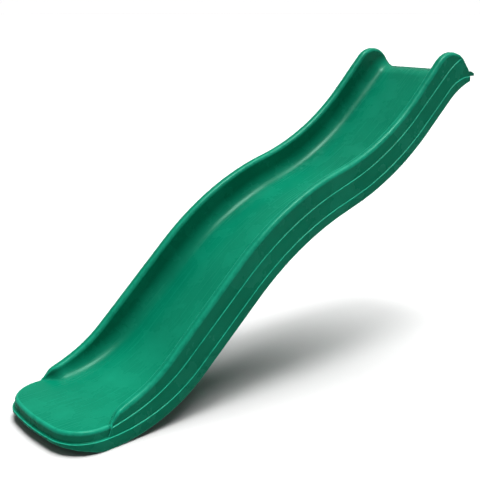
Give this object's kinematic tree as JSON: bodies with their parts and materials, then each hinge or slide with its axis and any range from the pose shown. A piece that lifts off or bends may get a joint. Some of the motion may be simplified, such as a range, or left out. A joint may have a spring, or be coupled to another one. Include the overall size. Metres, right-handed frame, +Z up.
{
  "type": "wave slide",
  "caption": "Wave-shaped playground slide in moulded green plastic, with stepped side rails, rounded landing tongue and hook-over top lip.",
  "frame": {"origin": "on the ground, half way along the run, in the slide's centre plane", "axes": "+X up the slide from the landing tongue to the hook lip, +Y to the right-hand side of a rider facing down the slide, +Z up"},
  "size_m": [2.038, 0.48, 1.1793],
  "materials": {
    "green_plastic": "satin"
  },
  "bodies": {
    "root": {"landing_tongue": "green_plastic", "run_out_floor": "green_plastic", "hump_floor": "green_plastic", "upper_slope_floor": "green_plastic", "entry_deck": "green_plastic", "left_side_rail": "green_plastic", "right_side_rail": "green_plastic", "hook_lip": "green_plastic", "underside_skin": "green_plastic", "tack_off_cones": "green_plastic"}
  },
  "joints": []
}
